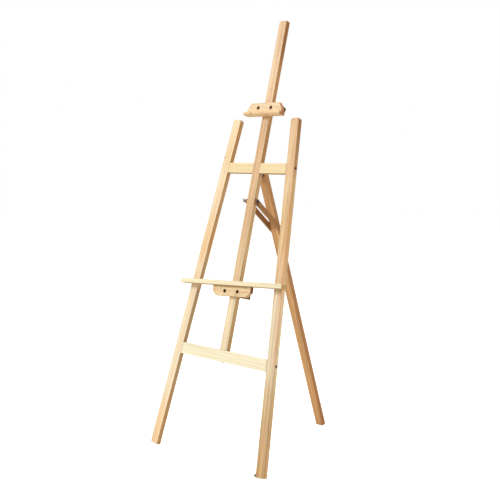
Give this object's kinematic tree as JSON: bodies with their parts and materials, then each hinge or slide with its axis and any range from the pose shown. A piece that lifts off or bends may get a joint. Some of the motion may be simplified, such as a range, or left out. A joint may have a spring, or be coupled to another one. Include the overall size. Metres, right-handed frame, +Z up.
{
  "type": "tripod field easel",
  "caption": "Folding wooden tripod easel: splayed front legs, central mast, sliding tray ledge and canvas clamp, hinged rear leg held open by a hooked brace.",
  "frame": {"origin": "on the floor, at the centre of the standing easel's bounding box", "axes": "+Z up; -Y towards the painter, the side the canvas stands on; +X to the painter's right as they face the easel"},
  "size_m": [0.5208, 0.6388, 1.4674],
  "materials": {
    "leg_pine": "sanded bare pine, satin",
    "pale_pine": "sanded bare pine, pale, satin",
    "clamp_pine": "sanded bare pine, satin",
    "rear_pine": "sanded bare pine, a darker batten",
    "brace_pine": "sanded bare pine, dark strip",
    "beech_dowel": "plain beech dowel",
    "black_steel": "black oxide steel, semi-matt",
    "zinc_steel": "zinc-plated steel, satin",
    "black_rubber": "matt black rubber"
  },
  "bodies": {
    "frame": {"left_front_leg": "leg_pine", "right_front_leg": "leg_pine", "upper_crossbar": "pale_pine", "lower_crossbar": "pale_pine", "mast": "leg_pine", "upper_left_crossbar_screw": "black_steel", "upper_right_crossbar_screw": "black_steel", "lower_left_crossbar_screw": "black_steel", "lower_right_crossbar_screw": "black_steel", "mast_foot_screw": "zinc_steel", "mast_lap_screw": "zinc_steel", "right_foot_stud": "black_rubber", "hinge_leaf_on_crossbar": "black_steel", "hinge_pin": "zinc_steel", "hinge_screw_crossbar_left": "zinc_steel", "hinge_screw_crossbar_right": "zinc_steel", "brace_bolt_in_mast": "black_steel", "brace_washer_left": "zinc_steel", "brace_washer_right": "zinc_steel"},
    "rear_leg": {"rear_leg": "rear_pine", "hinge_leaf_on_rear_leg": "black_steel", "hinge_screw_leg_left": "zinc_steel", "hinge_screw_leg_right": "zinc_steel", "brace_bolt_in_rear_leg": "black_steel", "rear_leg_washer_left": "zinc_steel", "rear_leg_washer_right": "zinc_steel", "rear_leg_lock_nut": "zinc_steel"},
    "brace": {"left_brace_strip": "brace_pine", "right_brace_strip": "brace_pine"},
    "brace_wing_nut": {"brace_wing_nut": "zinc_steel"},
    "canvas_clamp": {"clamp_front_block": "clamp_pine", "clamp_lip": "clamp_pine", "clamp_rear_block": "clamp_pine", "clamp_dowel_left": "beech_dowel", "clamp_dowel_right": "beech_dowel", "clamp_bolt_left": "black_steel", "clamp_bolt_right": "black_steel", "clamp_washer_left": "zinc_steel", "clamp_washer_right": "zinc_steel"},
    "clamp_wing_nut_left": {"clamp_wing_nut_left": "zinc_steel"},
    "clamp_wing_nut_right": {"clamp_wing_nut_right": "zinc_steel"},
    "tray": {"tray_ledge": "pale_pine", "tray_front_block": "pale_pine", "tray_rear_block": "pale_pine", "tray_screw_left": "zinc_steel", "tray_screw_right": "zinc_steel", "tray_bolt_left": "black_steel", "tray_bolt_right": "black_steel", "tray_washer_left": "zinc_steel", "tray_washer_right": "zinc_steel"},
    "tray_wing_nut_left": {"tray_wing_nut_left": "zinc_steel"},
    "tray_wing_nut_right": {"tray_wing_nut_right": "zinc_steel"}
  },
  "joints": [
    {"name": "rear_leg_fold", "type": "hinge", "parent": "frame", "child": "rear_leg", "pos_m": [0, -0.08158, 0.95115], "axis": [-1, 0, 0], "range_deg": [0, 33]},
    {"name": "brace_swing", "type": "hinge", "parent": "rear_leg", "child": "brace", "pos_m": [0, 0.01075, 0.75222], "axis": [-1, 0, 0], "range_deg": [0, 31.02]},
    {"name": "clamp_slide", "type": "slide", "parent": "frame", "child": "canvas_clamp", "axis": [0, 0.223, 0.9748], "range_m": [-0.15, 0.27]},
    {"name": "tray_slide", "type": "slide", "parent": "frame", "child": "tray", "axis": [0, 0.223, 0.9748], "range_m": [-0.15, 0.15]},
    {"name": "brace_wing_nut_turn", "type": "hinge", "parent": "frame", "child": "brace_wing_nut", "pos_m": [0, -0.11705, 0.84898], "axis": [-1, 0, 0], "continuous": true},
    {"name": "clamp_wing_nut_left_turn", "type": "hinge", "parent": "canvas_clamp", "child": "clamp_wing_nut_left", "pos_m": [-0.028, -0.05459, 1.16245], "axis": [0, 0.9748, -0.223], "continuous": true},
    {"name": "clamp_wing_nut_right_turn", "type": "hinge", "parent": "canvas_clamp", "child": "clamp_wing_nut_right", "pos_m": [0.028, -0.05459, 1.16245], "axis": [0, 0.9748, -0.223], "continuous": true},
    {"name": "tray_wing_nut_left_turn", "type": "hinge", "parent": "tray", "child": "tray_wing_nut_left", "pos_m": [-0.02796, -0.19551, 0.54634], "axis": [0, 0.9748, -0.223], "continuous": true},
    {"name": "tray_wing_nut_right_turn", "type": "hinge", "parent": "tray", "child": "tray_wing_nut_right", "pos_m": [0.02796, -0.19484, 0.5493], "axis": [0, 0.9748, -0.223], "continuous": true}
  ],
  "couplings": [
    {"joint": "brace_swing", "follows": "rear_leg_fold", "ratio": 0.9395}
  ]
}
